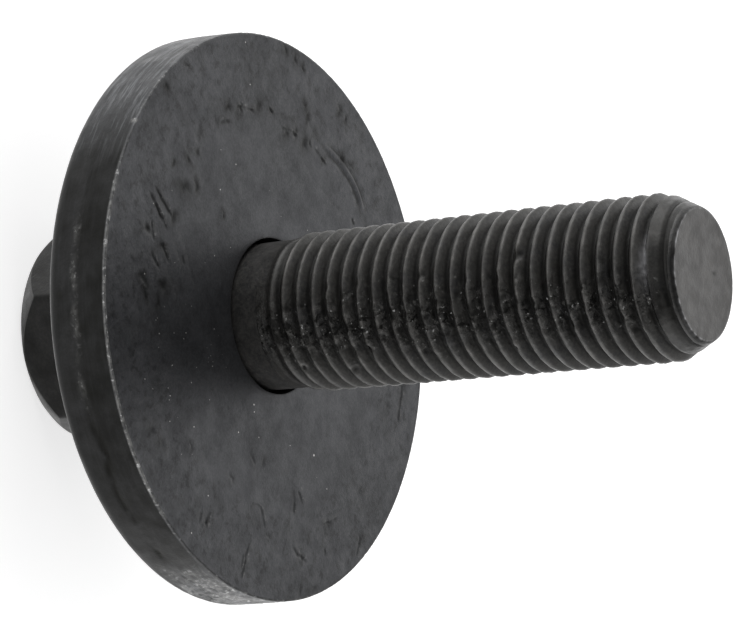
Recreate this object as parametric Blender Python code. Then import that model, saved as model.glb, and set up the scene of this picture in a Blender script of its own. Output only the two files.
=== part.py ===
"""Crankshaft damper bolt: a hex bolt with a rolled thread and a loose captive washer.

Units are metres, +Z is up. The bolt stands on its head, so the origin is the centre of the
head's outer face, the bolt axis is +Z and the thread points up.
"""
import bpy
import bmesh
from math import ceil, cos, pi, radians, sin, tan

# Head
HEAD_ACROSS_FLATS = 0.019
HEAD_HEIGHT = 0.0145
HEAD_CHAMFER_INSET = 0.0001
HEAD_CHAMFER_ANGLE = radians(58)
HEAD_FORM_OVERSIZE = 1.1
BEARING_DISC_INSET = 0.0004
BEARING_DISC_HEIGHT = 0.0004

# Shank
SHANK_LENGTH = 0.0475
THREAD_MAJOR_DIAMETER = 0.0138
THREAD_PITCH = 0.0015
THREAD_RUN_IN_TURNS = 1.5
NECK_STEP = 0.00045
NECK_FILLET = 0.0005
END_BELOW_ROOT = 0.0005
END_BEVEL_ANGLE = radians(28)

# Washer
WASHER_DIAMETER = 0.050
WASHER_THICKNESS = 0.006
WASHER_ROLLED_EDGE = 0.0011
WASHER_BREAK_TAPER = 0.00015
WASHER_BREAK_SHARE = 0.5
WASHER_FRONT_EDGE = 0.0002
WASHER_BORE_CHAMFER = 0.0009
WASHER_BORE_LIP = 0.0002

# Fits
WASHER_RADIAL_CLEARANCE = 0.00035
WASHER_SEAT_CLEARANCE = 0.0003
WASHER_END_PLAY = 0.0022

# Thread form: share of one pitch, and level from root (0) to crest (1)
THREAD_FORM = ((0.0, 0.0), (0.25, 0.0), (0.56, 1.0), (0.69, 1.0))
THREAD_DEPTH_PER_PITCH = 0.6134

# Facets
SHANK_SEGMENTS = 36
WASHER_SEGMENTS = 96
CHAMFER_SEGMENTS = 96
ARC_STEPS = 4
SHARP_ANGLE = radians(22)

# Worked out from the sizes above
CREST_RADIUS = THREAD_MAJOR_DIAMETER / 2
ROOT_RADIUS = CREST_RADIUS - THREAD_DEPTH_PER_PITCH * THREAD_PITCH
NECK_RADIUS = CREST_RADIUS - NECK_STEP
END_RADIUS = ROOT_RADIUS - END_BELOW_ROOT
BEARING_Z = HEAD_HEIGHT
TIP_Z = HEAD_HEIGHT + SHANK_LENGTH
WASHER_BASE_Z = BEARING_Z + WASHER_SEAT_CLEARANCE
WASHER_FACE_Z = WASHER_BASE_Z + WASHER_THICKNESS
THREAD_START_Z = WASHER_FACE_Z + WASHER_END_PLAY
BORE_RADIUS = NECK_RADIUS + WASHER_RADIAL_CLEARANCE
WASHER_RADIUS = WASHER_DIAMETER / 2


def clear_scene():
    for item in list(bpy.data.objects):
        bpy.data.objects.remove(item, do_unlink=True)


def steel(name, colour, roughness, metallic):
    material = bpy.data.materials.new(name)
    material.use_nodes = True
    shader = material.node_tree.nodes["Principled BSDF"]
    shader.inputs["Base Color"].default_value = (*colour, 1)
    shader.inputs["Roughness"].default_value = roughness
    shader.inputs["Metallic"].default_value = metallic
    return material


def make_object(name, mesh_builder, material=None):
    """Link a new object whose mesh is the closed surface held by mesh_builder."""
    bmesh.ops.recalc_face_normals(mesh_builder, faces=mesh_builder.faces)
    mesh = bpy.data.meshes.new(name)
    mesh_builder.to_mesh(mesh)
    mesh_builder.free()
    item = bpy.data.objects.new(name, mesh)
    bpy.context.scene.collection.objects.link(item)
    if material:
        mesh.materials.append(material)
    return item


def shade_round(item):
    item.data.shade_smooth()
    item.data.set_sharp_from_angle(angle=SHARP_ANGLE)


def ring(builder, radius, z, segments):
    turns = (2 * pi * step / segments for step in range(segments))
    return [builder.verts.new((radius * cos(a), radius * sin(a), z)) for a in turns]


def join_rings(builder, lower, upper):
    count = len(lower)
    for step in range(count):
        after = (step + 1) % count
        builder.faces.new((lower[step], lower[after], upper[after], upper[step]))


def arc(centre, radius, start, end):
    """Points (radius, z) of a rounded edge, both ends included."""
    angles = (start + (end - start) * step / ARC_STEPS for step in range(ARC_STEPS + 1))
    return [(centre[0] + radius * cos(a), centre[1] + radius * sin(a)) for a in angles]


def turned_rings(builder, profile, segments):
    rings = [ring(builder, radius, z, segments) for radius, z in profile]
    for lower, upper in zip(rings, rings[1:]):
        join_rings(builder, lower, upper)
    return rings


def turned_solid(name, profile, segments, material=None):
    """Solid of revolution with a flat cap at each end of an open profile."""
    builder = bmesh.new()
    rings = turned_rings(builder, profile, segments)
    builder.faces.new(rings[0])
    builder.faces.new(rings[-1])
    return make_object(name, builder, material)


def turned_hoop(name, profile, segments, material=None):
    """Solid of revolution from a closed profile that stays off the axis."""
    builder = bmesh.new()
    rings = turned_rings(builder, profile, segments)
    join_rings(builder, rings[-1], rings[0])
    return make_object(name, builder, material)


def cut(item, cutter, operation):
    """Apply an exact Boolean and delete the second object."""
    modifier = item.modifiers.new(operation.title(), "BOOLEAN")
    modifier.operation = operation
    modifier.solver = "EXACT"
    modifier.object = cutter
    bpy.context.view_layer.update()
    evaluated = item.evaluated_get(bpy.context.evaluated_depsgraph_get())
    result = bpy.data.meshes.new_from_object(evaluated)
    item.modifiers.clear()
    item.data = result
    bpy.data.objects.remove(cutter, do_unlink=True)


def hex_head():
    """Hexagonal prism whose corners are bevelled at the outer face, z = 0."""
    builder = bmesh.new()
    corner_radius = HEAD_ACROSS_FLATS / 2 / cos(pi / 6)
    lower = ring(builder, corner_radius, 0, 6)
    upper = ring(builder, corner_radius, HEAD_HEIGHT - BEARING_DISC_HEIGHT, 6)
    join_rings(builder, lower, upper)
    builder.faces.new(lower)
    builder.faces.new(upper)
    head = make_object("head", builder)

    face_radius = HEAD_ACROSS_FLATS / 2 - HEAD_CHAMFER_INSET
    full_radius = corner_radius * HEAD_FORM_OVERSIZE
    full_z = (full_radius - face_radius) * tan(HEAD_CHAMFER_ANGLE)
    bevel_form = [(face_radius, 0), (full_radius, full_z), (full_radius, HEAD_HEIGHT)]
    cut(head, turned_solid("head_form", bevel_form, CHAMFER_SEGMENTS), "INTERSECT")
    return head


def thread_radius(z, turn, level):
    """Surface radius: rises out of the neck over the run-in, and is cut by the end bevel."""
    fade = min(1, turn / THREAD_RUN_IN_TURNS)
    fade = fade * fade * (3 - 2 * fade)
    formed = ROOT_RADIUS + (CREST_RADIUS - ROOT_RADIUS) * level
    rolled = NECK_RADIUS + (formed - NECK_RADIUS) * fade
    bevel = END_RADIUS + (TIP_Z - z) * tan(END_BEVEL_ANGLE)
    return min(rolled, bevel)


def thread_columns(builder):
    """Columns of points up the shank; each starts a little higher than the last, on the helix."""
    form_rows = len(THREAD_FORM)
    turns = (TIP_Z - THREAD_START_Z) / THREAD_PITCH - 1
    rows = ceil(turns * form_rows) - 1
    columns = []
    for step in range(SHANK_SEGMENTS):
        share = step / SHANK_SEGMENTS
        angle = 2 * pi * share
        column = []
        for row in range(rows):
            offset, level = THREAD_FORM[row % form_rows]
            turn = row // form_rows + offset + share
            z = THREAD_START_Z + turn * THREAD_PITCH
            radius = thread_radius(z, turn, level)
            column.append(builder.verts.new((radius * cos(angle), radius * sin(angle), z)))
        columns.append(column)
    return columns


def join_columns(builder, left, right):
    for row in range(len(left) - 1):
        builder.faces.new((left[row], right[row], right[row + 1], left[row + 1]))


def fan(builder, centre, chain):
    for first, second in zip(chain, chain[1:]):
        builder.faces.new((centre, first, second))


def rolled_shank():
    """Bearing disc, fillet, neck, helical thread and bevelled end as one closed surface."""
    builder = bmesh.new()
    disc_radius = HEAD_ACROSS_FLATS / 2 - BEARING_DISC_INSET
    buried_z = HEAD_HEIGHT / 2
    fillet_centre = (NECK_RADIUS + NECK_FILLET, BEARING_Z + NECK_FILLET)
    profile = [(disc_radius, buried_z), (disc_radius, BEARING_Z)]
    profile += arc(fillet_centre, NECK_FILLET, 1.5 * pi, pi)
    profile.append((NECK_RADIUS, THREAD_START_Z - THREAD_PITCH / 2))
    neck_rings = turned_rings(builder, profile, SHANK_SEGMENTS)
    neck = neck_rings[-1]
    tip = ring(builder, END_RADIUS, TIP_Z, SHANK_SEGMENTS)
    builder.faces.new(neck_rings[0])
    builder.faces.new(tip)

    columns = thread_columns(builder)
    first, last = columns[0], columns[-1]
    for left, right in zip(columns, columns[1:]):
        join_columns(builder, left, right)
    for step in range(SHANK_SEGMENTS - 1):
        after = step + 1
        builder.faces.new((neck[step], neck[after], columns[after][0], columns[step][0]))
        builder.faces.new((columns[step][-1], columns[after][-1], tip[after], tip[step]))

    # The last column meets the first one a turn higher
    one_turn = len(THREAD_FORM)
    join_columns(builder, last[:-one_turn], first[one_turn:])
    fan(builder, last[0], [neck[-1], neck[0], *first[:one_turn + 1]])
    fan(builder, first[-1], [tip[0], tip[-1], *reversed(last[-one_turn - 1:])])
    return make_object("shank", builder)


def make_bolt():
    bolt = hex_head()
    cut(bolt, rolled_shank(), "UNION")
    bolt.name = "bolt"
    bolt.data.materials.clear()
    bolt.data.materials.append(steel("blackened_bolt_steel", (0.045, 0.043, 0.042), 0.42, 0.85))
    shade_round(bolt)
    return bolt


def washer_profile():
    """Section of a blanked washer, head side down: rolled edge, sheared band, break, bore."""
    z0, z1 = WASHER_BASE_Z, WASHER_FACE_Z
    roll_centre = (WASHER_RADIUS - WASHER_ROLLED_EDGE, z0 + WASHER_ROLLED_EDGE)
    break_z = z1 - WASHER_THICKNESS * WASHER_BREAK_SHARE
    front_radius = WASHER_RADIUS - WASHER_BREAK_TAPER
    profile = [(BORE_RADIUS + WASHER_BORE_CHAMFER, z0)]
    profile += arc(roll_centre, WASHER_ROLLED_EDGE, -pi / 2, 0)
    profile.append((WASHER_RADIUS, break_z))
    profile.append((front_radius, z1 - WASHER_FRONT_EDGE))
    profile.append((front_radius - WASHER_FRONT_EDGE, z1))
    profile.append((BORE_RADIUS + WASHER_BORE_LIP, z1))
    profile.append((BORE_RADIUS, z1 - WASHER_BORE_LIP))
    profile.append((BORE_RADIUS, z0 + WASHER_BORE_CHAMFER))
    return profile


def make_washer():
    finish = steel("blackened_washer_steel", (0.07, 0.073, 0.08), 0.5, 0.7)
    washer = turned_hoop("captive_washer", washer_profile(), WASHER_SEGMENTS, finish)
    shade_round(washer)
    return washer


def main():
    clear_scene()
    make_bolt()
    make_washer()


main()
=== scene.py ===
import random
from math import atan2, ceil, cos, degrees, floor, hypot, pi, radians, sin, tan
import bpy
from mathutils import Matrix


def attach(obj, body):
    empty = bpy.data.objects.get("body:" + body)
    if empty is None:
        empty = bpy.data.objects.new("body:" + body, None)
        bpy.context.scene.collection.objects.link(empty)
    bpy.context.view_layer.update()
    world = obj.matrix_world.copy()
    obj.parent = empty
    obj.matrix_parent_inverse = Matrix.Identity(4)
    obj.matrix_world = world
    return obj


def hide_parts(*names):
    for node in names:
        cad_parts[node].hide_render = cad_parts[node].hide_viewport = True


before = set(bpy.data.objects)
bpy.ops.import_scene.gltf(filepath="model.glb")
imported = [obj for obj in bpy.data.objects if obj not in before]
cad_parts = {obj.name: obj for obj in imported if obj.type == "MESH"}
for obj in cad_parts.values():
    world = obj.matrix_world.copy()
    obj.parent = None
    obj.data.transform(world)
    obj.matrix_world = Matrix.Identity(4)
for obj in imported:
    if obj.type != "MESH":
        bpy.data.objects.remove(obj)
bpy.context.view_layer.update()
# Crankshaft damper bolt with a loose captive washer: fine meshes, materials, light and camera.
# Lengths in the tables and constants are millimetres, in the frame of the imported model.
from types import SimpleNamespace

import bpy
import numpy as np
from mathutils import Vector, noise
from mathutils.geometry import delaunay_2d_cdt

MM = 0.001

# Sizes shared with the part's source
ACROSS_FLATS = 19.0
HEAD_HEIGHT = 14.5
DISC_HEIGHT = 0.4
DISC_RADIUS = 9.1
HEAD_FACE_RADIUS = 9.4
HEAD_BEVEL = radians(58)
SHANK_LENGTH = 47.5
CREST_RADIUS = 6.9
ROOT_RADIUS = 5.98
NECK_RADIUS = 6.45
NECK_FILLET = 0.5
PITCH = 1.5
END_BELOW_ROOT = 0.5
END_BEVEL = radians(28)
WASHER_RADIUS = 25.0
WASHER_THICKNESS = 6.0
SEAT_GAP = 0.3
END_PLAY = 2.2
BORE_RADIUS = 6.8
BORE_LIP = 0.2
BORE_CHAMFER = 0.9
ROLLED_EDGE = 1.1

TIP = HEAD_HEIGHT + SHANK_LENGTH
END_RADIUS = ROOT_RADIUS - END_BELOW_ROOT
END_FACE_RADIUS = END_RADIUS - 0.1
WASHER_BACK = HEAD_HEIGHT + SEAT_GAP
WASHER_FACE = WASHER_BACK + WASHER_THICKNESS
THREAD_START = WASHER_FACE + END_PLAY

# The bolt's own forms in the fine mesh
CORNER_RADIUS = 0.5
THREAD_END_FROM_TIP = 0.42
RUN_IN_TURNS = (0.4, 1.9)
CREST_SHARPNESS = 0.85
ROOT_UNDER_BEVEL = 0.13
SOFT_CUT = 0.14
END_DISH = 0.05

# The washer's own forms in the fine mesh; its side lies a skin's depth inside the solid
FRONT_EDGE = 0.35
BREAK_TAPER = 0.12
SEAM_HEIGHT = 2.9
SEAM_WIDTH = 0.26
SKIN = 0.01
FACE_BORDER = WASHER_RADIUS - FRONT_EDGE
BORE_BORDER = BORE_RADIUS + BORE_LIP

# Sharper folds than these stay sharp in the shading
BOLT_FOLD = radians(40)
WASHER_FOLD = radians(50)

# Spacing of the meshes
COLUMNS = 156
FILLET_STEPS = 5
FIRST_LEVEL_ROW = 3.4
RIM_COLUMNS = 480
BORE_COLUMNS = RIM_COLUMNS // 2
ROLL_STEPS = 8
FACE_STEP = 0.26
CROWDED = 0.16

# Regions of the bolt
HEAD, HEAD_EDGE, NECK, THREAD, BEVEL, END = range(6)

# The nicked, dirty band along the shank
BAND_ANGLE = radians(152)
BAND_WIDTH = 2.7
NICKS = 130

# The rubbed patch on the last crest, which is cut by the bevel
RUBBED_ANGLE = radians(127)
RUBBED_FROM_TIP = 2.3

# The end face: a pit, and a smeared band along its right-hand side
PIT = (1.4, -1.2)
PIT_SPREAD = 0.05
SMEAR_RADIUS = 4.5
SMEAR_ANGLE = radians(-35)

# Share of one pitch at which the crest lies, and the rows of points
CREST_SHARE = 0.625
TURN_ROWS = (0.0, 0.07, 0.14, 0.2, 0.26, 0.32, 0.38, 0.44, 0.49, 0.54,
             0.58, 0.625, 0.67, 0.71, 0.76, 0.81, 0.87, 0.93)

# Floor and light, in metres; the floor glows as the camera sees it and as the steel mirrors it
FLOOR_HALF = 2.0
CAMERA_GLOW = 0.6
MIRRORED_GLOW = 0.9
WORLD_STRENGTH = 0.42
TARGET = Vector((0, 0, 0.03))

# Camera: place in metres, turn in radians, lens in millimetres, and the image's own directions
CAMERA_PLACE = (-0.16724, 0.14232, 0.16450)
CAMERA_TURN = (0.15459, -1.01682, -0.88988)
LENS = 144.18
SENSOR_WIDTH = 36
IMAGE_RIGHT = Vector((0.331, -0.409, 0.850))
IMAGE_UP = Vector((0.685, 0.724, 0.081))
TO_CAMERA = Vector((-0.649, 0.556, 0.520))

random.seed(14)


def rough(points, size, octaves=3):
    """Fractal noise, about -1 to 1, at each point; size is that of its largest lumps."""
    return np.array([noise.fractal(Vector(p) / size, 1.0, 2.0, octaves) for p in points])


def smoothstep(low, high, value):
    t = np.clip((value - low) / (high - low), 0, 1)
    return t * t * (3 - 2 * t)


def window(value, start, full, fading, end):
    """1 between full and fading, easing to 0 at start and end."""
    return smoothstep(start, full, value) * smoothstep(end, fading, value)


def bell(distance, width):
    """Bell curve: 1 at no distance, nearly 0 at twice the width."""
    return np.exp(-(distance / width) ** 2)


def link_mesh(name, points, faces, attributes, material):
    mesh = bpy.data.meshes.new(name)
    mesh.from_pydata([tuple(p) for p in points * MM], [], faces)
    for key, values in attributes.items():
        layer = mesh.attributes.new(key, "FLOAT", "POINT")
        layer.data.foreach_set("value", values.astype(np.float32))
    mesh.materials.append(material)
    mesh.update()
    item = bpy.data.objects.new(name, mesh)
    bpy.context.scene.collection.objects.link(item)
    return item


def tidy_faces(faces):
    """Drop repeated corners, and the faces that have fewer than three left."""
    kept = []
    for face in faces:
        corners = [v for k, v in enumerate(face) if v != face[k - 1]]
        if len(corners) > 2 and len(set(corners)) == len(corners):
            kept.append(corners)
    return kept


# Shader helpers

class Nodes:
    """Short calls for building one material's node tree."""

    def __init__(self, name):
        self.material = bpy.data.materials.new(name)
        self.material.use_nodes = True
        self.tree = self.material.node_tree
        self.shader = self.tree.nodes["Principled BSDF"]
        self.place = self.add("ShaderNodeTexCoord").outputs["Object"]

    def add(self, kind, **settings):
        node = self.tree.nodes.new(kind)
        for key, value in settings.items():
            setattr(node, key, value)
        return node

    def link(self, source, target):
        self.tree.links.new(source, target)

    def feed(self, socket, value):
        if hasattr(value, "is_output"):
            self.link(value, socket)
        else:
            socket.default_value = value

    def scaled(self, stretch):
        node = self.add("ShaderNodeMapping")
        node.inputs["Scale"].default_value = stretch
        self.link(self.place, node.inputs["Vector"])
        return node.outputs["Vector"]

    def times(self, first, second):
        return self.math("MULTIPLY", first, second)

    def noise(self, size, detail=4.0, roughness=0.55, stretch=None):
        """Noise texture whose lumps are about size millimetres."""
        node = self.add("ShaderNodeTexNoise")
        node.inputs["Scale"].default_value = 1000.0 / size
        node.inputs["Detail"].default_value = detail
        node.inputs["Roughness"].default_value = roughness
        self.link(self.scaled(stretch) if stretch else self.place, node.inputs["Vector"])
        return node.outputs["Fac"]

    def attribute(self, name):
        node = self.add("ShaderNodeAttribute", attribute_name=name)
        return node.outputs["Fac"]

    def math(self, operation, first, second=0.0):
        node = self.add("ShaderNodeMath", operation=operation)
        self.feed(node.inputs[0], first)
        self.feed(node.inputs[1], second)
        return node.outputs[0]

    def ramp(self, value, low, high, start=0.0, end=1.0):
        node = self.add("ShaderNodeMapRange", interpolation_type="SMOOTHSTEP")
        self.feed(node.inputs["Value"], value)
        node.inputs["From Min"].default_value = low
        node.inputs["From Max"].default_value = high
        node.inputs["To Min"].default_value = start
        node.inputs["To Max"].default_value = end
        return node.outputs["Result"]

    def mix(self, share, first, second):
        node = self.add("ShaderNodeMix", data_type="RGBA")
        self.feed(node.inputs["Factor"], share)
        self.feed(node.inputs["A"], first if hasattr(first, "is_output") else (*first, 1))
        self.feed(node.inputs["B"], second if hasattr(second, "is_output") else (*second, 1))
        return node.outputs["Result"]

    def bump(self, height, distance, strength=1.0, normal=None):
        node = self.add("ShaderNodeBump")
        node.inputs["Strength"].default_value = strength
        node.inputs["Distance"].default_value = distance * MM
        self.link(height, node.inputs["Height"])
        if normal:
            self.link(normal, node.inputs["Normal"])
        return node.outputs["Normal"]

    def finish(self, colour, roughness, specular, normal, metallic):
        self.feed(self.shader.inputs["Base Color"], colour)
        self.feed(self.shader.inputs["Roughness"], roughness)
        self.feed(self.shader.inputs["Specular IOR Level"], specular)
        self.link(normal, self.shader.inputs["Normal"])
        self.feed(self.shader.inputs["Metallic"], metallic)
        return self.material


def bolt_finish():
    """Black phosphate, a little browner on the thread, paler where crests and nicks are rubbed and along
    the crests as painted highlight, darker with grime and painted shade.
    """
    look = Nodes("black_phosphate_bolt")
    band = look.attribute("band")
    grain = look.noise(0.30, 5, 0.65)
    chips = look.noise(0.75, 5, 0.75)
    patches = look.times(look.attribute("threaded"), look.ramp(look.noise(3.0, 3), 0.30, 0.60))
    colour = look.mix(patches, (0.024, 0.024, 0.025), (0.031, 0.030, 0.028))
    colour = look.mix(look.ramp(grain, 0.40, 0.62, 0, 0.7), colour, (0.056, 0.054, 0.050))
    # Paler metal: wear, and painted highlight along the crests.
    rubbed_and_highlight = look.times(look.attribute("wear_and_highlight"), look.ramp(look.noise(0.9, 4, 0.6), 0.30, 0.66, 0.15, 1.0))
    colour = look.mix(rubbed_and_highlight, colour, (0.105, 0.101, 0.095))
    # Darker: grime and painted shade, and the band's dark chips.
    dirt_and_shade = look.math("MAXIMUM", look.attribute("grime_and_shade"), look.times(band, look.ramp(chips, 0.50, 0.57)))
    colour = look.mix(dirt_and_shade, colour, (0.006, 0.006, 0.0055))
    crumbs = look.times(band, look.ramp(chips, 0.42, 0.35, 0, 0.8))
    colour = look.mix(crumbs, colour, (0.130, 0.128, 0.122))
    # Painted glints: tiny bright specks in the nicked band.
    specks = look.times(band, look.ramp(look.noise(0.30, 2, 0.5), 0.69, 0.73))
    colour = look.mix(specks, colour, (0.42, 0.42, 0.42))
    clouds = look.ramp(look.noise(2.6, 4, 0.5), 0.3, 0.7)
    bare = look.mix(clouds, (0.024, 0.022, 0.0205), (0.034, 0.031, 0.0285))
    colour = look.mix(look.attribute("sawn"), colour, bare)
    colour = look.mix(look.attribute("glint"), colour, (0.34, 0.34, 0.35))
    roughness = look.ramp(look.noise(1.2, 4), 0.3, 0.7, 0.36, 0.48)
    specular = look.ramp(dirt_and_shade, 0, 1, 0.5, 0.12)
    normal = look.bump(grain, 0.028, 1.0)
    normal = look.bump(look.noise(1.8, 3), 0.025, 0.7, normal)
    normal = look.bump(look.times(band, chips), 0.22, 1.0, normal)
    return look.finish(colour, roughness, specular, normal, 0.35)


def washer_finish():
    """Bluish black phosphate, blotched, with dents, rubbed edges and bright specks; painted shade in the
    dents, grooves, rim and bore, and painted highlight streaks on the rim's upper stretch.
    """
    look = Nodes("black_phosphate_washer")
    wear_and_highlight, rim, grime_and_shade = look.attribute("wear_and_highlight"), look.attribute("rim"), look.attribute("grime_and_shade")
    mottled = look.attribute("mottle")
    grain = look.noise(0.22, 5, 0.65)
    mottle = look.noise(1.1, 6, 0.75)
    streaks = look.noise(0.9, 5, 0.7, (0.22, 0.22, 2.6))
    patches = look.ramp(look.noise(9.0, 3), 0.35, 0.65)
    colour = look.mix(patches, (0.038, 0.039, 0.042), (0.047, 0.048, 0.052))
    colour = look.mix(look.ramp(grain, 0.42, 0.60, 0, 0.55), colour, (0.062, 0.063, 0.067))
    blots = look.times(look.ramp(mottle, 0.51, 0.62, 0, 0.7), mottled)
    colour = look.mix(blots, colour, (0.019, 0.019, 0.020))
    smudges = look.times(look.ramp(look.noise(2.8, 5, 0.7), 0.54, 0.68, 0, 0.3), mottled)
    colour = look.mix(smudges, colour, (0.021, 0.021, 0.023))
    pale = look.times(look.ramp(mottle, 0.46, 0.34, 0, 0.45), mottled)
    colour = look.mix(pale, colour, (0.074, 0.075, 0.079))
    colour = look.mix(grime_and_shade, colour, (0.0085, 0.0085, 0.0075))
    # Pale streaks of the rim: painted highlight on its upper stretch, partly real scuffing on the scuffed
    # stretch.
    highlight_streaks = look.times(rim, look.ramp(streaks, 0.50, 0.62, 0, 0.85))
    colour = look.mix(highlight_streaks, colour, (0.120, 0.124, 0.130))
    dark_streaks = look.times(rim, look.ramp(streaks, 0.47, 0.38, 0, 0.7))
    colour = look.mix(dark_streaks, colour, (0.010, 0.010, 0.010))
    rubbed_and_highlight = look.times(wear_and_highlight, look.ramp(look.noise(0.5, 4, 0.6), 0.32, 0.62, 0.2, 1.0))
    colour = look.mix(rubbed_and_highlight, colour, (0.19, 0.19, 0.185))
    sparks = look.times(wear_and_highlight, look.ramp(look.noise(0.45, 3, 0.6), 0.55, 0.66))
    colour = look.mix(sparks, colour, (0.50, 0.50, 0.50))
    colour = look.mix(look.attribute("glint"), colour, (0.75, 0.74, 0.72))
    roughness = look.ramp(look.noise(2.0, 4), 0.3, 0.7, 0.40, 0.53)
    specular = look.ramp(grime_and_shade, 0.4, 1, 0.5, 0.1)
    normal = look.bump(grain, 0.016, 0.9)
    normal = look.bump(look.times(mottle, mottled), 0.055, 0.9, normal)
    normal = look.bump(look.times(rim, streaks), 0.05, 0.8, normal)
    normal = look.bump(look.noise(4.0, 3), 0.04, 0.6, normal)
    return look.finish(colour, roughness, specular, normal, 0.75)


# Bolt

def hex_radius(angle):
    """Distance from the axis to the side of the hexagon, its corners rounded."""
    inner = (ACROSS_FLATS / 2 - CORNER_RADIUS) / cos(pi / 6)
    off = (angle + pi / 6) % (pi / 3) - pi / 6
    turn_off = atan2(CORNER_RADIUS * sin(pi / 6), inner + CORNER_RADIUS * cos(pi / 6))
    flat = ACROSS_FLATS / 2 / np.cos(pi / 6 - np.abs(off))
    round_part = np.sqrt(np.maximum(CORNER_RADIUS ** 2 - (inner * np.sin(off)) ** 2, 0))
    return np.where(np.abs(off) < turn_off, inner * np.cos(off) + round_part, flat)


def head_rows():
    """Rings of the head from the centre of its outer face to the bearing disc."""
    # Columns crowd towards the hexagon's corners
    share = np.arange(COLUMNS) / COLUMNS
    sector = (share * 6) % 1.0
    flats_before = np.floor(share * 6 + 1e-9)
    warped = (flats_before + sector - 0.75 * np.sin(2 * pi * sector) / (2 * pi)) * pi / 3
    hexagon = hex_radius(warped)
    rows = []

    def add(radius, z, zone=HEAD):
        rows.append((warped, np.broadcast_to(radius, COLUMNS), np.broadcast_to(z, COLUMNS), zone))

    for radius in (1.2, 2.8, 4.4, 6.0, 7.4, 8.5, 9.0, HEAD_FACE_RADIUS - 0.14):
        add(radius, 0)
    add(HEAD_FACE_RADIUS - 0.03, 0.02)
    # The bevel's rows follow the curved lines where it meets the flats
    rise = hexagon - HEAD_FACE_RADIUS
    crossing = rise * tan(HEAD_BEVEL)
    for part in (0.25, 0.45, 0.65, 0.85):
        add(HEAD_FACE_RADIUS + part * rise, part * crossing)
    add(hexagon - 0.02, crossing, HEAD_EDGE)
    flat_start = crossing + 0.12
    for part in (0, 0.3, 0.6, 1):
        add(hexagon, flat_start + part * (FIRST_LEVEL_ROW - flat_start))
    top = HEAD_HEIGHT - DISC_HEIGHT
    for z in np.linspace(FIRST_LEVEL_ROW, top - 0.5, 9)[1:]:
        add(hexagon, z)
    for inset, z in ((0.02, top - 0.22), (0.07, top - 0.09), (0.17, top - 0.02), (0.3, top)):
        add(hexagon - inset, z)
    for radius, z in ((DISC_RADIUS + 0.06, top), (DISC_RADIUS, top + 0.06),
                      (DISC_RADIUS, HEAD_HEIGHT - 0.08), (DISC_RADIUS - 0.08, HEAD_HEIGHT),
                      (8.2, HEAD_HEIGHT), (7.3, HEAD_HEIGHT)):
        add(radius, z)
    return rows


def neck_rows():
    """Radius and z of the rings from the foot of the neck's fillet to the start of the thread."""
    rows = []
    centre = NECK_RADIUS + NECK_FILLET
    for step in range(FILLET_STEPS + 1):
        turn = 1.5 * pi - step * pi / (2 * FILLET_STEPS)
        z = HEAD_HEIGHT + NECK_FILLET + NECK_FILLET * sin(turn)
        rows.append((centre + NECK_FILLET * cos(turn), z))
    for z in np.arange(HEAD_HEIGHT + 1.0, THREAD_START - 0.3, 0.5):
        rows.append((NECK_RADIUS, z))
    rows.append((NECK_RADIUS, THREAD_START))
    return rows


def end_rows():
    """Radius and z of the rings from the bevel over the end's sharp edge to its dished middle."""
    return ((bevel_radius(TIP - 0.22), TIP - 0.22), (END_RADIUS + 0.02, TIP - 0.07),
            (END_RADIUS - 0.04, TIP - 0.02), (END_FACE_RADIUS, TIP - 0.003),
            (END_FACE_RADIUS - 0.12, TIP), (5.0, TIP), (4.6, TIP), (4.3, TIP - 0.01),
            (3.8, TIP - 0.02), (2.9, TIP - 0.04), (1.9, TIP - END_DISH), (1.4, TIP - END_DISH),
            (0.9, TIP - END_DISH))


def bevel_radius(z):
    return END_RADIUS + (TIP - z) * tan(END_BEVEL)


def thread_level(turn):
    """Height of the rolled form, 0 at the root and 1 at the crest."""
    return (0.5 + 0.5 * cos(2 * pi * (turn - CREST_SHARE))) ** CREST_SHARPNESS


def thread_point(z, turn):
    """Radius and height of form at one point of the threaded length."""
    fade = float(smoothstep(*RUN_IN_TURNS, (z - THREAD_START) / PITCH))
    level = thread_level(turn)
    bevel = bevel_radius(z)
    root = min(ROOT_RADIUS, bevel - ROOT_UNDER_BEVEL)
    formed = root + (CREST_RADIUS - ROOT_RADIUS) * level
    rolled = NECK_RADIUS + (formed - NECK_RADIUS) * fade
    softened = max(SOFT_CUT - abs(rolled - bevel), 0) ** 2 / (4 * SOFT_CUT)
    return min(rolled, bevel) - softened, level * fade


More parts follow.
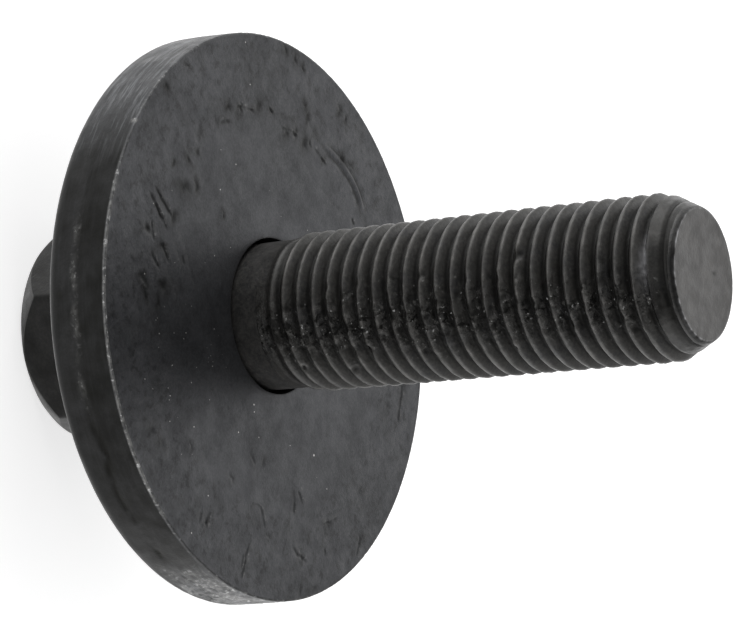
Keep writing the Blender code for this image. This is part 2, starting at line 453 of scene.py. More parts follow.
def bolt_mesh():
    """Points and faces of the bolt, with each point's height of thread form and its region."""
    share = np.arange(COLUMNS) / COLUMNS
    angle = 2 * pi * share
    points, level, region = [(0, 0, 0)], [0.0], [HEAD]
    faces = []

    def add_point(place, height, kind):
        points.append(place)
        level.append(height)
        region.append(kind)
        return len(points) - 1

    def add_ring(angles, radius, z, kind):
        return [add_point((r * cos(a), r * sin(a), h), 0.0, kind) for a, r, h in zip(angles, radius, z)]

    def add_round(radius, z, kind):
        return add_ring(angle, np.full(COLUMNS, radius), np.full(COLUMNS, z), kind)

    def join(lower, upper):
        for k in range(COLUMNS):
            after = (k + 1) % COLUMNS
            faces.append((lower[k], lower[after], upper[after], upper[k]))

    rings = [add_ring(*row) for row in head_rows()]
    for k in range(COLUMNS):
        faces.append((0, rings[0][(k + 1) % COLUMNS], rings[0][k]))
    rings += [add_round(radius, z, NECK) for radius, z in neck_rows()]
    for lower, upper in zip(rings, rings[1:]):
        join(lower, upper)

    # Thread: each column starts a little higher than the last, and rows beyond the ends fold in
    low_ring = rings[-1]
    last_z = TIP - THREAD_END_FROM_TIP
    high_ring = add_round(bevel_radius(last_z), last_z, BEVEL)
    one_turn = len(TURN_ROWS)
    rows = (ceil((last_z - THREAD_START) / PITCH) + 1) * one_turn
    grid = np.empty((COLUMNS, rows), dtype=int)
    for k in range(COLUMNS):
        for row in range(rows):
            turn = row // one_turn - 1 + TURN_ROWS[row % one_turn]
            z = THREAD_START + (turn + share[k]) * PITCH
            if z <= THREAD_START + 0.01:
                grid[k, row] = low_ring[k]
            elif z >= last_z - 0.01:
                grid[k, row] = high_ring[k]
            else:
                radius, height = thread_point(z, turn)
                place = (radius * cos(angle[k]), radius * sin(angle[k]), z)
                grid[k, row] = add_point(place, height, THREAD)
    for k in range(COLUMNS):
        after = (k + 1) % COLUMNS
        skip = one_turn if after == 0 else 0
        for row in range(rows - 1):
            a, b = min(row + skip, rows - 1), min(row + 1 + skip, rows - 1)
            faces.append((grid[k, row], grid[after, a], grid[after, b], grid[k, row + 1]))

    tip = [high_ring] + [add_round(radius, z, END) for radius, z in end_rows()]
    for lower, upper in zip(tip, tip[1:]):
        join(lower, upper)
    centre = add_point((0, 0, TIP - END_DISH), 0.0, END)
    for k in range(COLUMNS):
        faces.append((centre, tip[-1][k], tip[-1][(k + 1) % COLUMNS]))
    return np.array(points), tidy_faces(faces), np.array(level), np.array(region)


def bolt_spots(points, level, region):
    """What the marks on the bolt depend on, at each point."""
    radial = np.hypot(points[:, 0], points[:, 1])
    angle = np.arctan2(points[:, 1], points[:, 0])
    facing = (angle - BAND_ANGLE + pi) % (2 * pi) - pi
    z = points[:, 2]
    threaded = region == THREAD
    return SimpleNamespace(
        radial=radial, angle=angle, z=z, from_tip=TIP - z, level=level, region=region,
        threaded=threaded, cone=threaded & (radial > bevel_radius(z) - 0.12),
        across=facing * CREST_RADIUS, off_band=np.abs(np.degrees(facing)),
        wobble=rough(points, 1.6, 3), fine=rough(points + 31, 0.5, 2))


def bolt_wear_and_highlight(at):
    """Rubbed metal on the thread crests, the neck and the corners of the head; the pale crest lines are
    partly painted highlight.
    """
    plain = 0.30 + 0.3 * at.wobble
    start = smoothstep(THREAD_START + 1.2, THREAD_START, at.z)
    # Pale crest lines: partly wear, partly painted highlight along the crests.
    crest_wear_and_highlight = smoothstep(0.80, 1.0, at.level) * (0.35 + 0.6 * at.wobble)
    wear_and_highlight = np.where(at.cone, 0.12 + 0.3 * at.wobble, crest_wear_and_highlight)
    wear_and_highlight = np.where(at.threaded, np.maximum(wear_and_highlight, start * plain), 0)
    wear_and_highlight = np.where(at.region == HEAD_EDGE, 0.35 + 0.5 * at.wobble, wear_and_highlight)
    return np.where(at.region == NECK, plain, wear_and_highlight)


def bolt_grime_and_shade(at):
    """Darkening: painted shade in the thread roots and on the near side of the bevel, and the head
    darkened all over.
    """
    formed = smoothstep(THREAD_START + 0.6, THREAD_START + 2.2, at.z)
    # Painted shade in the thread roots.
    roots = np.where(at.threaded, smoothstep(0.50, 0.05, at.level) * 0.85 * formed, 0)
    # Painted shade on the bevel: darker in its middle and on its side toward the view.
    middle_shade = bell(at.across - radians(8) * CREST_RADIUS, 2.4) * (0.75 + 0.4 * at.fine)
    painted_bevel_shade = 0.45 * smoothstep(2.4, 1.9, at.from_tip) + 0.3 * smoothstep(1.3, 0.9, at.from_tip)
    bevel = np.maximum(0.35 * roots + middle_shade, painted_bevel_shade * smoothstep(100, 60, at.off_band))
    grime_and_shade = np.where(at.cone, bevel, roots)
    # The head is darkened all over.
    grime_and_shade = np.where(at.region == HEAD, 0.8 + 0.2 * at.wobble, grime_and_shade)
    return np.where(at.region == HEAD_EDGE, 0.3, grime_and_shade)


def nicks(across, z):
    """Pressed-in marks with a raised edge, scattered along the band: radial shift."""
    total = np.zeros(len(z))
    for _ in range(NICKS):
        x0, z0 = random.gauss(0, 2.0), random.uniform(THREAD_START + 1, TIP - 3.2)
        size, turn = random.uniform(0.16, 0.42), random.uniform(-0.9, 0.9)
        depth = random.uniform(0.10, 0.32)
        dx, dz = across - x0, z - z0
        near = (np.abs(dx) < 2) & (np.abs(dz) < 2)
        u = (dx[near] * cos(turn) + dz[near] * sin(turn)) / (size * 1.5)
        v = (dz[near] * cos(turn) - dx[near] * sin(turn)) / size
        edge = 0.45 * depth * np.exp(-(u * u + (v - 1.6) ** 2) * 2)
        total[near] += edge - depth * np.exp(-(u * u + v * v))
    return np.clip(total, -0.35, 0.1)


def end_marks(points, at):
    """Bare metal, dirt, painted shade and glint of the end, whose edge is made ragged: painted shade on
    the corner's side toward the view, and a painted highlight along the face's edge.
    """
    ends = at.region == END
    edge = ends & (np.abs(at.radial - END_FACE_RADIUS) < 0.08)
    ragged = 1 - 0.012 * np.abs(rough(points * (1, 1, 0), 0.7, 3))
    points[:, :2] *= np.where(edge, ragged, 1)[:, None]
    face = ends & (at.radial < END_FACE_RADIUS + 0.02)
    smear_start = SMEAR_RADIUS + 0.35 * rough(points * (1, 1, 0) + 7, 1.2, 3)
    smeared = face * smoothstep(-0.15, 0.2, at.radial - smear_start)
    smeared = smeared * smoothstep(0.2, 0.7, np.cos(at.angle - SMEAR_ANGLE))
    pit = face * np.exp(-((points[:, 0] - PIT[0]) ** 2 + (points[:, 1] - PIT[1]) ** 2) / PIT_SPREAD)
    bare = face * (1 - pit) * (1 - 0.35 * smeared)
    # Painted shade on the corner between bevel and face, on its side toward the view.
    dirt_and_shade = np.where(face, np.maximum(pit, 0.5 * smeared), 0.75 * smoothstep(100, 60, at.off_band))
    # Painted highlight along the edge of the face, brighter on the side toward the view.
    highlight_side = 0.35 + 0.65 * smoothstep(80, 50, at.off_band)
    lit = bell(at.radial - END_FACE_RADIUS, 0.08) * highlight_side * (0.40 + 1.3 * at.fine)
    return bare, np.where(ends, dirt_and_shade, 0), np.where(ends, lit, 0)


def make_bolt():
    points, faces, level, region = bolt_mesh()
    at = bolt_spots(points, level, region)
    wear_and_highlight, grime_and_shade = bolt_wear_and_highlight(at), bolt_grime_and_shade(at)

    # The nicked, dirty band along the shank
    broken = smoothstep(-0.35, 0.25, at.wobble + 0.25)
    band = bell(at.across, BAND_WIDTH) * broken * at.threaded * smoothstep(1.0, 2.2, at.from_tip)
    scar = nicks(at.across, at.z) * at.threaded
    # Painted shade in the pits of the nicks; their raised edges are rubbed paler.
    grime_and_shade = np.maximum(grime_and_shade, 0.7 * smoothstep(-0.05, -0.16, scar))
    wear_and_highlight = np.maximum(wear_and_highlight, 0.6 * smoothstep(0.02, 0.06, scar))

    shift = np.where(at.threaded, 0.04 * at.fine * level, 0.012 * at.wobble)
    shift = shift - 0.05 * band * level * smoothstep(0.0, 0.5, at.fine)
    shift = shift + scar * smoothstep(0.2, 0.7, level)
    flat = (region == END) | (at.radial < 1)
    points[:, :2] *= np.where(flat, 1, 1 + shift / np.maximum(at.radial, 1))[:, None]

    rubbed_and_highlight = bell((at.angle - RUBBED_ANGLE) * CREST_RADIUS, 1.9)
    rubbed_and_highlight = rubbed_and_highlight * bell(at.from_tip - RUBBED_FROM_TIP, 0.3)
    bare, end_dirt_and_shade, end_glint = end_marks(points, at)
    grime_and_shade = np.where(region == END, end_dirt_and_shade, grime_and_shade)
    glint = np.where(at.threaded, rubbed_and_highlight * (0.7 + 0.8 * at.fine), end_glint)
    points[:, 2] = np.clip(points[:, 2], 0, TIP)

    attributes = {"wear_and_highlight": np.clip(wear_and_highlight, 0, 1), "grime_and_shade": np.clip(grime_and_shade, 0, 1), "band": band,
                  "glint": np.clip(glint, 0, 1), "sawn": bare, "threaded": at.threaded.astype(float)}
    bolt = link_mesh("bolt_forged", points, faces, attributes, bolt_finish())
    bolt.data.shade_smooth()
    bolt.data.set_sharp_from_angle(angle=BOLT_FOLD)
    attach(bolt, "bolt")
    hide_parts("bolt")


# Washer

# Marks of the front face, given as azimuth in degrees and radius
SCRATCHES = (
    ((104, 20.2), (105, 19), (106, 18), (107.5, 16.8)),
    ((106.5, 20.6), (107.5, 19.4), (109, 18.4), (111, 17.8)),
    ((108, 19.2), (110, 18), (112, 17)),
    ((112, 19.4), (115, 19), (117, 18.6)),
    ((115.5, 17.6), (118, 17), (121, 16.2)),
    ((119, 19), (121, 18.4), (124, 17.4)),
    ((116, 14.6), (119, 14)),
    ((69, 17.9), (63, 17.6)),
    ((59, 18.6), (55, 18.3), (50, 17.9)),
    ((43, 18.4), (40, 17.8)),
    ((37, 17), (34, 16.9), (31, 17.1), (27, 16.8)),
    ((19, 17.2), (14, 17), (10, 16.8)),
    ((350, 16.4), (347, 16.2)),
    ((190.5, 20.2), (190, 21), (190.5, 21.8)),
    ((187.5, 21), (188, 22.2)),
    ((206, 17.1), (212, 17), (213.5, 17.8), (214.5, 19.2)),
    ((208.5, 20), (207.5, 21), (207, 22.6), (206.5, 24)),
    ((206.5, 21.6), (206, 23)),
    ((230, 15.2), (230, 16.4), (228.5, 17.5)),
    ((233, 15.4), (234, 16.8)),
    ((226.5, 20), (229, 21), (233, 21.8)),
    ((241.5, 19.4), (245.5, 19.5), (250, 19.8)),
    ((256.5, 23.1), (254, 23.6), (252, 24.2)),
    ((299, 21.5), (295, 21.6), (291, 21.6), (288.5, 22)),
)
# The curved raised line on the far side of the shank, between its two grooves
GOUGE = ((15, 18.2), (9, 18.6), (3, 18.8), (357, 19), (351, 18.8), (346, 18.2))

# Dents, darkened with painted shade: azimuth, radius from the axis and size
DENTS = (
    (96, 16.6, 0.50), (91, 15.6, 0.40), (83, 17.2, 0.25), (88, 17.6, 0.30), (94, 18.8, 0.25),
    (63, 18.7, 0.35), (57, 18.4, 0.30), (48, 18.5, 0.40), (42, 18.3, 0.25), (34, 16.5, 0.35),
    (29, 17.2, 0.35), (24, 16.8, 0.45), (21, 17.2, 0.30), (12, 17.2, 0.25), (5, 19.3, 0.30),
    (1, 19.7, 0.35), (26, 20.3, 0.30), (24, 19.2, 0.35), (36, 24.1, 0.30), (32, 23.8, 0.30),
    (29, 23.5, 0.25), (12, 22.8, 0.35), (9, 22.7, 0.25), (83, 24, 0.30), (74, 23.8, 0.25),
    (115, 19.6, 0.40), (117, 17.2, 0.30), (107, 16.6, 0.35), (128, 19.5, 0.45), (128, 16.8, 0.40),
    (131.5, 19.3, 0.35), (133, 17.6, 0.30), (86, 11.3, 0.20), (174, 17.9, 0.25), (204, 13.3, 0.30),
    (211, 13, 0.22), (195, 16.2, 0.22), (241, 21.5, 0.22), (216, 19.4, 0.25), (230, 21.2, 0.35),
    (245, 19.5, 0.30), (256, 23.2, 0.35), (291, 19.7, 0.30), (298, 21.5, 0.30), (264, 19.8, 0.25),
    (190, 21.6, 0.30), (162, 21.6, 0.40), (166, 21.2, 0.35), (234, 24.2, 0.30), (229, 24, 0.25),
)
# Broad faint rub marks beside the neck, drawn without relief as painted shade and painted highlight
SHADED_RUBS = (
    ((106, 16.5), (112, 14.6), (120, 13), (127, 12)),
    ((110, 17), (116, 15.2), (124, 13.6)),
    ((118, 18), (125, 15.8), (133, 14.6)),
    ((12, 14.5), (0, 14.8), (350, 15.6)),
)
# Bright specks: azimuth, radius and size
GLINTS = (
    (51, 24, 0.09), (51, 20.3, 0.09), (66, 13.9, 0.09), (72, 15.8, 0.06), (34, 9, 0.06), (8, 9.8, 0.06),
    (197, 8.8, 0.12), (247, 13.2, 0.16), (151, 20.7, 0.09), (159, 18.2, 0.07), (156, 17.9, 0.07),
    (171, 16.4, 0.09), (206, 11.2, 0.08), (231, 11.4, 0.07), (187, 23.4, 0.10), (249, 16.7, 0.08),
)
# Pale fleck on the front edge
FLECK = (96, 24.8)

# The seam and the bands of the rim, by azimuth in degrees: start, full, fading and end
BURRED = (100, 120, 168, 186)
# Scuffed stretch of the rim, its pallor partly painted light
SCUFFED_AND_LIT = (190, 206, 228, 245)
# Upper stretch of the rim, brightened with painted light
LIT_FROM_ABOVE = (-60, 30, 84, 108)
DEEP_SEAM = (145, 165, 222, 240)
LINED = (112, 124, 146, 158)

# The ragged line that the front face has touched up to, and its darkest stretch
CONTACT_RADIUS = 17.6
CONTACT_ARC = (-35, -15, 70, 100)

# Azimuth that is uppermost in the view: the painted shade in dents and scratches is fainter away from it
UPPER_AZIMUTH = 47
SCATTERED_SPECKS = 45
SCRATCH_WIDTH = 0.26
GOUGE_WIDTH = 0.44
SCRATCH_STEP, GOUGE_STEP, SHADED_RUB_STEP = 0.18, 0.2, 0.4


def polar(azimuth, radius):
    return radius * cos(radians(azimuth)), radius * sin(radians(azimuth))


def smooth_path(path, spacing):
    """Flat points at even spacing along a path of azimuths and radii, its corners eased."""
    path = np.array([polar(*place) for place in path])
    for _ in range(2):
        cut = [path[0]]
        for a, b in zip(path, path[1:]):
            cut += [a * 0.75 + b * 0.25, a * 0.25 + b * 0.75]
        cut.append(path[-1])
        path = np.array(cut)
    steps = np.hypot(*np.diff(path, axis=0).T)
    along = np.concatenate(([0], np.cumsum(steps)))
    count = max(2, int(along[-1] / spacing) + 1)
    even = np.linspace(0, along[-1], count)
    return np.stack([np.interp(even, along, path[:, 0]), np.interp(even, along, path[:, 1])], 1)


def offset_path(path, distance):
    direction = np.gradient(path, axis=0)
    direction /= np.hypot(*direction.T)[:, None]
    return path + distance * np.stack([-direction[:, 1], direction[:, 0]], 1)


def path_distance(points, path):
    """Distance and side of each point to a polyline, and its share of the way along."""
    best = np.full(len(points), 1e9)
    side = np.zeros(len(points))
    share = np.zeros(len(points))
    for k, (a, b) in enumerate(zip(path, path[1:])):
        step = b - a
        t = np.clip(((points - a) @ step) / (step @ step), 0, 1)
        away = points - a - t[:, None] * step
        distance = np.hypot(away[:, 0], away[:, 1])
        nearer = distance < best
        best[nearer] = distance[nearer]
        side[nearer] = (step[0] * away[:, 1] - step[1] * away[:, 0])[nearer]
        share[nearer] = ((k + t) / (len(path) - 1))[nearer]
    return best, np.sign(side), share


def circle(x, y, radius, count, turn=0):
    angles = [2 * pi * k / count + turn for k in range(count)]
    return [(x + radius * cos(a), y + radius * sin(a)) for a in angles]


def face_specks():
    """Place and size of the bright specks: those listed and a scatter round the neck."""
    specks = [(*polar(azimuth, radius), size) for azimuth, radius, size in GLINTS]
    for _ in range(SCATTERED_SPECKS):
        place = polar(random.gauss(145, 42), random.uniform(8.5, 20))
        specks.append((*place, random.uniform(0.04, 0.09)))
    return specks


def mark_points(specks):
    """Flat points along and round the marks of the front face, close enough to shape them."""
    points = []
    lines = [(smooth_path(path, SCRATCH_STEP), SCRATCH_WIDTH / 2) for path in SCRATCHES]
    lines.append((smooth_path(GOUGE, GOUGE_STEP), GOUGE_WIDTH / 2))
    for line, half in lines:
        for distance in (-half * 2, -half, 0, half, half * 2):
            points.extend(map(tuple, offset_path(line, distance)))
    for azimuth, reach, radius in DENTS:
        x, y = polar(azimuth, reach)
        for ring in range(1, 4):
            points.extend(circle(x, y, radius * ring / 2.4, 6 * ring, turn=ring))
        points.append((x, y))
    for x, y, size in specks:
        points.append((x, y))
        points.extend(circle(x, y, size, 5))
        points.extend(circle(x, y, 2 * size, 7))
    return points


def face_points(specks):
    """Flat points of the front face: both borders, the marks, and a spread of rings between."""
    points = circle(0, 0, FACE_BORDER, RIM_COLUMNS) + circle(0, 0, BORE_BORDER, BORE_COLUMNS)
    edges = [(k, (k + 1) % RIM_COLUMNS) for k in range(RIM_COLUMNS)]
    edges += [(RIM_COLUMNS + k, RIM_COLUMNS + (k + 1) % BORE_COLUMNS) for k in range(BORE_COLUMNS)]
    points += mark_points(specks)
    taken = set(map(tuple, np.floor(np.array(points) / CROWDED).astype(int)))
    for radius in np.arange(BORE_RADIUS + 0.5, WASHER_RADIUS - 0.5, FACE_STEP):
        count = int(2 * pi * radius / 0.27)
        for k in range(count):
            a = 2 * pi * (k + random.random() * 0.5) / count
            r = radius + random.uniform(-0.06, 0.06)
            x, y = r * cos(a), r * sin(a)
            i, j = floor(x / CROWDED), floor(y / CROWDED)
            if not any((i + di, j + dj) in taken for di in (-1, 0, 1) for dj in (-1, 0, 1)):
                points.append((x, y))
    return points, edges


def warped(flat, seeds, size, reach, octaves):
    """The flat points pushed aside a little by noise, so that marks drawn on them waver."""
    solid = np.column_stack([flat, np.zeros(len(flat))])
    return flat + reach * np.stack([rough(solid + seed, size, octaves) for seed in seeds], 1)


def front_face(flat):
    """Ground of the front face: smooth inside a ragged contact line, rougher and dirtier outside."""
    solid = np.column_stack([flat, np.zeros(len(flat))])
    radial = np.hypot(flat[:, 0], flat[:, 1])
    azimuth = np.degrees(np.arctan2(flat[:, 1], flat[:, 0]))
    line = CONTACT_RADIUS + 0.8 * rough(solid + 9, 5.0, 3)
    outside = smoothstep(line - 0.8, line + 0.6, radial)
    height = 0.030 * rough(solid, 6.0, 3) + (0.003 + 0.012 * outside) * rough(solid + 17, 0.9, 3)
    arc = bell(radial - line - 0.5, 0.35) * window(azimuth, *CONTACT_ARC)
    arc = arc * smoothstep(-0.1, 0.4, rough(solid + 41, 1.5, 3))
    grime_and_shade = 0.22 * smoothstep(0.15, 0.6, rough(solid + 5, 2.2, 4)) * (0.25 + 0.75 * outside)
    upper = np.cos(np.radians(azimuth - UPPER_AZIMUTH))
    return SimpleNamespace(
        flat=flat, height=height - 0.05 * arc, grime_and_shade=np.maximum(grime_and_shade, 0.6 * arc),
        mottle=0.4 + 0.6 * outside, wear_and_highlight=np.zeros(len(flat)), glint=np.zeros(len(flat)),
        faint=0.6 + 0.4 * smoothstep(-0.3, 0.1, upper),
        broken=smoothstep(-0.5, 0.3, rough(solid + 23, 0.9, 2)),
        wavy=warped(flat, (71, 73), 0.8, 0.10, 2), bent=warped(flat, (61, 67), 0.7, 0.35, 3))


def scratch(face, path):
    """Groove with a raised edge on one side, darkened along it with painted shade."""
    away, side, share = path_distance(face.wavy, smooth_path(path, SCRATCH_STEP))
    ends = window(share, 0, 0.2, 0.8, 1) * (0.45 + 0.55 * face.broken)
    ridge = ends * smoothstep(SCRATCH_WIDTH / 2, 0.02, np.abs(away - SCRATCH_WIDTH)) * (side > 0)
    # Painted shade along the groove.
    dirt_and_shade = 0.75 * face.faint * ends * smoothstep(1.3 * SCRATCH_WIDTH, 0.06, away)
    face.height += 0.035 * ridge - 0.055 * ends * smoothstep(SCRATCH_WIDTH, 0.0, away)
    face.grime_and_shade = np.maximum(face.grime_and_shade, dirt_and_shade)
    face.wear_and_highlight = np.maximum(face.wear_and_highlight, 0.22 * ridge)


def shaded_rub(face, path):
    """Broad faint mark with no relief: painted shade on one side and painted highlight on the other."""
    away, side, share = path_distance(face.wavy, smooth_path(path, SHADED_RUB_STEP))
    ends = window(share, 0, 0.3, 0.7, 1)
    # Painted shade on one side of the mark, painted highlight on the other.
    face.grime_and_shade = np.maximum(face.grime_and_shade, 0.25 * ends * smoothstep(0.45, 0.1, away) * (side > 0))
    face.wear_and_highlight = np.maximum(face.wear_and_highlight, 0.07 * ends * smoothstep(0.5, 0.1, away) * (side < 0))


def gouge(face, path):
    """Raised line between two grooves, which are darkened with painted shade."""
    away, _, share = path_distance(face.flat, smooth_path(path, GOUGE_STEP))
    ends = window(share, 0, 0.2, 0.8, 1)
    beside = np.abs(away - GOUGE_WIDTH)
    face.height += 0.07 * ends * smoothstep(0.24, 0.0, away)
    face.height -= 0.06 * ends * smoothstep(0.25, 0.0, beside)
    # Painted shade in the two grooves.
    face.grime_and_shade = np.maximum(face.grime_and_shade, 0.75 * ends * smoothstep(0.26, 0.0, beside))


def dent(face, azimuth, reach, radius):
    """Pit with a low raised lip, stretched and turned by chance; the dark in it is painted shade."""
    x, y = polar(azimuth, reach)
    stretch, turn = random.uniform(0.6, 1.5), random.uniform(0, pi)
    dx, dy = face.bent[:, 0] - x, face.bent[:, 1] - y
    u = (dx * cos(turn) + dy * sin(turn)) * stretch
    v = (dy * cos(turn) - dx * sin(turn)) / stretch
    away = np.hypot(u, v) / (1.25 * radius)
    face.height += 0.018 * bell(away - 1.4, 0.4) - 0.045 * bell(away, 0.8) * (radius / 0.3)
    # Painted shade in the pit.
    face.grime_and_shade = np.maximum(face.grime_and_shade, 0.85 * face.faint * bell(away, 1.5))


def speck(face, x, y, size):
    """Bright speck, dimmer where it is small."""
    inside = np.hypot(face.flat[:, 0] - x, face.flat[:, 1] - y) < 0.9 * size
    face.glint = np.maximum(face.glint, min(1, 0.3 + 9 * size) * inside)


def marked_face(flat, specks):
    """Height, dirt and painted shade, wear and painted highlight, glint and mottle of the front face at
    flat points.
    """
    face = front_face(flat)
    for path in SCRATCHES:
        scratch(face, path)
    for path in SHADED_RUBS:
        shaded_rub(face, path)
    gouge(face, GOUGE)
    for place in DENTS:
        dent(face, *place)
    for place in specks:
        speck(face, *place)
    return face


def rim_profile():
    """Rows from the front edge round the rim and back face to the bore: radius, z and surface."""
    rows = [(WASHER_RADIUS - 0.24, WASHER_FACE - 0.01, "edge"),
            (WASHER_RADIUS - 0.16, WASHER_FACE - 0.05, "edge"),
            (WASHER_RADIUS - 0.13, WASHER_FACE - 0.13, "edge")]
    half = WASHER_THICKNESS / 2
    for z in np.arange(WASHER_FACE - 0.3, WASHER_BACK + ROLLED_EDGE + 0.05, -0.19):
        taper = BREAK_TAPER * max(0, (z - WASHER_BACK - half) / half)
        rows.append((WASHER_RADIUS - SKIN - taper, z, "rim"))
    for step in range(ROLL_STEPS + 1):
        a = -step * pi / (2 * ROLL_STEPS)
        radius = WASHER_RADIUS - ROLLED_EDGE + (ROLLED_EDGE - SKIN) * cos(a)
        rows.append((radius, WASHER_BACK + ROLLED_EDGE + ROLLED_EDGE * sin(a), "roll"))
    for radius in (22.5, 20.8, 19, 17, 15, 13, 11, 9.3, 8.2):
        rows.append((radius, WASHER_BACK, "back"))
    for step in np.arange(4) * BORE_CHAMFER / 3:
        rows.append((BORE_RADIUS + BORE_CHAMFER - step, WASHER_BACK + step, "bore"))
    for z in np.linspace(WASHER_BACK + 1.4, WASHER_FACE - BORE_LIP, 10):
        rows.append((BORE_RADIUS, z, "bore"))
    rows.append((BORE_RADIUS + 0.06, WASHER_FACE - 0.06, "bore"))
    return rows


def rim_relief(place, a, kind):
    """Radial shift, lift, wear and painted highlight, dirt and painted shade, and streaks at a point of
    the rim, back or bore.
    """
    here = Vector(place)
    lump = noise.fractal(here / 1.5, 1.0, 2.0, 3)
    if kind == "back":
        return 0, 0.03 * abs(lump), 0, 0.1, 0
    if kind == "bore":
        # Painted shade in the bore.
        return 0.01 * lump, 0, 0, 0.6, 0
    fine = noise.fractal(here / 0.45, 1.0, 2.0, 2)
    turn = degrees(a)
    # Painted light on the rim's upper stretch: less dark, with pale streaks and a paler burr.
    lit_from_above = window((turn + 180) % 360 - 180, *LIT_FROM_ABOVE)
    if kind == "roll":
        # Painted highlight along the rear edge, painted shade on the rest of the rounded edge.
        rear_highlight = smoothstep(WASHER_BACK + 0.5, WASHER_BACK + 0.3, place[2])
        dirt_and_shade = (0.80 - 0.15 * rear_highlight) * (1 - 0.8 * lit_from_above)
        return -0.02 * abs(lump), 0, 0.1 * rear_highlight, dirt_and_shade, 0.03 + 0.97 * lit_from_above
    burred, scuffed_and_lit = window(turn, *BURRED), window(turn, *SCUFFED_AND_LIT)
    x, y = polar(*FLECK)
    fleck = 2 * np.exp(-((place[0] - x) ** 2 + (place[1] - y) ** 2) / 0.025)
    fleck *= smoothstep(WASHER_FACE - 0.55, WASHER_FACE - 0.3, place[2])
    if kind == "edge":
        burr = max(0, 0.3 + noise.fractal(here / 0.7, 1.0, 2.0, 3))
        wear_and_highlight = 0.12 + burred * (0.42 + 0.95 * burr) + (0.7 * scuffed_and_lit + 0.3 * lit_from_above) * burr + fleck
        # Painted shade along the front edge, away from the burr and the upper stretch.
        dirt_and_shade = 0.45 * (1 - burred) * (1 - lit_from_above)
        return -0.05 * abs(fine), 0.05 * burr * burred, wear_and_highlight, dirt_and_shade, 0.4
    # The side: a smooth band below a wavy seam, and a torn band above it
    seam = WASHER_BACK + SEAM_HEIGHT
    seam += 0.45 * noise.fractal(Vector((cos(a), sin(a), 0)) * 5, 1.0, 2.0, 3)
    line = bell(place[2] - seam, SEAM_WIDTH)
    deep = line * window(turn, *DEEP_SEAM)
    torn = 1 if place[2] > seam else 0
    shift = -0.10 * deep * max(0, 0.4 + lump) - 0.03 * torn * abs(fine) - 0.01 * abs(lump)
    shift -= 0.18 * scuffed_and_lit * abs(fine)
    wear_and_highlight = 0.35 * line * window(turn, *LINED) * max(0, 0.5 + lump)
    # Scuffed stretch: real rough scuffing, its pallor partly painted light.
    wear_and_highlight += scuffed_and_lit * max(0, 0.30 + fine + 1.2 * lump) + fleck
    # Painted shade darkens the side, less on the scuffed and upper stretches; the torn band is a little
    # darker.
    dirt_and_shade = (0.80 + 0.06 * torn + 0.12 * lump) * (1 - 0.7 * scuffed_and_lit) * (1 - 0.85 * lit_from_above)
    dirt_and_shade += 0.9 * scuffed_and_lit * max(0, -0.15 - lump) + deep * (0.25 + 0.5 * lump)
    return shift, 0, wear_and_highlight, dirt_and_shade, 0.03 + 0.97 * max(lit_from_above, scuffed_and_lit)


def border_ids(flat, radius, count):
    """Indices of the evenly spaced points on one border of the front face, in turn."""
    found = {}
    for k, (x, y) in enumerate(flat):
        if abs(hypot(x, y) - radius) < 1e-3:
            turn = atan2(y, x) / (2 * pi) * count
            if abs(turn - round(turn)) < 1e-2:
                found[round(turn) % count] = k
    return [found[k] for k in range(count)]


def join_rings(faces, last, ring):
    """Quads between equal rings, or triangles where the new ring has half as many points."""
    count = len(ring)
    for k in range(count):
        after = (k + 1) % count
        if len(last) == count:
            faces.append([last[k], ring[k], ring[after], last[after]])
        else:
            middle, far = 2 * k + 1, (2 * k + 2) % len(last)
            faces.append([last[2 * k], ring[k], last[middle]])
            faces.append([last[middle], ring[k], ring[after]])
            faces.append([last[middle], ring[after], last[far]])


def make_washer():
    specks = face_specks()
    spread, edges = face_points(specks)
    found, _, triangles, _, _, _ = delaunay_2d_cdt([Vector(p) for p in spread], edges, [], 0, 1e-5)
    flat = np.array([tuple(p) for p in found])
    middles = np.array([flat[list(corners)].mean(axis=0) for corners in triangles])
    hole = BORE_BORDER * cos(pi / BORE_COLUMNS) - 1e-4
    outside_hole = np.hypot(middles[:, 0], middles[:, 1]) > hole
    faces = [list(corners) for corners, kept in zip(triangles, outside_hole) if kept]
    face = marked_face(flat, specks)
    radial = np.hypot(flat[:, 0], flat[:, 1])
    calm = window(radial, BORE_BORDER, BORE_BORDER + 0.5, FACE_BORDER - 0.55, FACE_BORDER)
    points = [(x, y, WASHER_FACE - 0.02 + z) for (x, y), z in zip(flat, face.height * calm)]
    looks = list(zip(face.wear_and_highlight, face.grime_and_shade, face.glint, face.mottle, np.zeros(len(flat))))

    # Rim, back and bore as rings that start and end on the face's borders
    last = border_ids(flat, FACE_BORDER, RIM_COLUMNS)
    for radius, z, kind in rim_profile():
        count = BORE_COLUMNS if kind == "bore" else RIM_COLUMNS
        ring = []
        for k in range(count):
            a = 2 * pi * k / count
            place = (radius * cos(a), radius * sin(a), z)
            # Rim values include painted shade, and painted highlight on the upper stretch.
            shift, lift, wear_and_highlight, dirt_and_shade, streaks_and_highlight = rim_relief(place, a, kind)
            r = min(radius + shift, WASHER_RADIUS)
            ring.append(len(points))
            points.append((r * cos(a), r * sin(a), z + lift))
            looks.append((wear_and_highlight, dirt_and_shade, 0, 0.3, streaks_and_highlight))
        join_rings(faces, last, ring)
        last = ring
    join_rings(faces, last, border_ids(flat, BORE_BORDER, BORE_COLUMNS))

    columns = np.clip(np.array(looks).T, 0, 1)
    attributes = dict(zip(("wear_and_highlight", "grime_and_shade", "glint", "mottle", "rim"), columns))
    washer = link_mesh("washer_blanked", np.array(points), faces, attributes, washer_finish())
    washer.data.shade_smooth()
    washer.data.set_sharp_from_angle(angle=WASHER_FOLD)
    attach(washer, "washer")
    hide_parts("captive_washer")


# Stage, light and camera

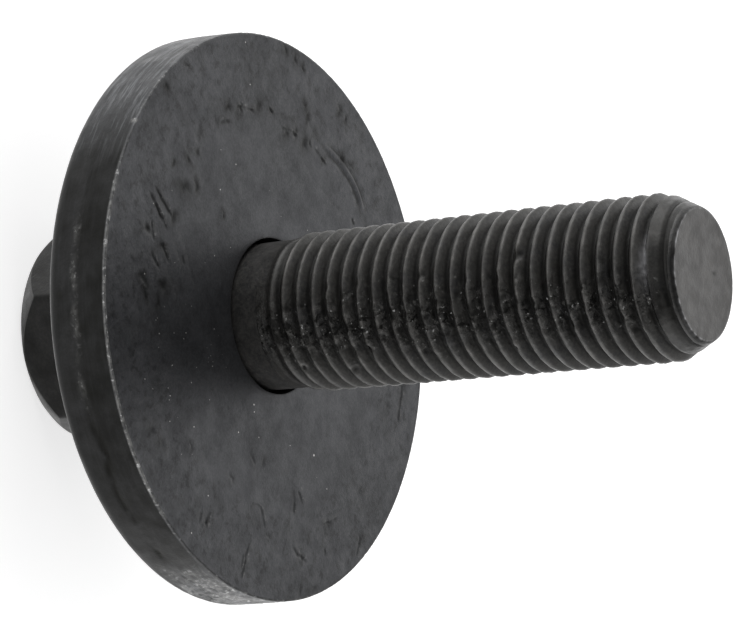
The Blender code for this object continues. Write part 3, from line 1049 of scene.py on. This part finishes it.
def make_stage():
    """Pale matt floor that the camera sees as white, and that still shows the shadow."""
    mesh = bpy.data.meshes.new("floor")
    half = FLOOR_HALF
    corners = [(-half, -half, 0), (half, -half, 0), (half, half, 0), (-half, half, 0)]
    mesh.from_pydata(corners, [], [(0, 1, 2, 3)])
    ground = bpy.data.objects.new("floor", mesh)
    bpy.context.scene.collection.objects.link(ground)
    look = Nodes("pale_floor")
    look.feed(look.shader.inputs["Base Color"], (0.8, 0.8, 0.8, 1))
    look.feed(look.shader.inputs["Roughness"], 0.9)
    look.feed(look.shader.inputs["Emission Color"], (1, 1, 1, 1))
    seen = look.add("ShaderNodeLightPath")
    direct = look.times(seen.outputs["Is Camera Ray"], CAMERA_GLOW)
    mirrored = look.times(seen.outputs["Is Glossy Ray"], MIRRORED_GLOW)
    look.feed(look.shader.inputs["Emission Strength"], look.math("ADD", direct, mirrored))
    mesh.materials.append(look.material)


def soft_box(name, across, up, near, distance, size, radiance, lift=0.0):
    """Square area light on the side given in the image's own directions."""
    side = (IMAGE_RIGHT * across + IMAGE_UP * up + TO_CAMERA * near).normalized()
    light = bpy.data.lights.new(name, "AREA")
    light.size = size
    light.energy = radiance * pi * size * size
    item = bpy.data.objects.new(name, light)
    item.location = TARGET + side * distance + Vector((0, 0, lift))
    item.rotation_euler = (item.location - TARGET).to_track_quat("Z", "Y").to_euler()
    bpy.context.scene.collection.objects.link(item)


def make_light():
    world = bpy.data.worlds.new("studio")
    bpy.context.scene.world = world
    world.use_nodes = True
    background = world.node_tree.nodes["Background"]
    background.inputs["Color"].default_value = (1, 1, 1, 1)
    background.inputs["Strength"].default_value = WORLD_STRENGTH
    soft_box("top_softbox", across=-0.1, up=0.95, near=0.05,
             distance=0.45, size=0.45, radiance=3.0, lift=0.08)
    soft_box("right_softbox", across=0.88, up=0.25, near=-0.46,
             distance=0.5, size=0.5, radiance=1.05)
    soft_box("low_softbox", across=0.2, up=-0.9, near=0.0,
             distance=0.45, size=0.4, radiance=2.0, lift=0.08)


def make_camera():
    data = bpy.data.cameras.new("camera")
    data.lens = LENS
    data.sensor_width = SENSOR_WIDTH
    camera = bpy.data.objects.new("camera", data)
    camera.location = CAMERA_PLACE
    camera.rotation_euler = CAMERA_TURN
    bpy.context.scene.collection.objects.link(camera)
    bpy.context.scene.camera = camera


make_camera()
make_light()
make_stage()
make_bolt()
make_washer()
bpy.context.scene.view_settings.view_transform = "Standard"
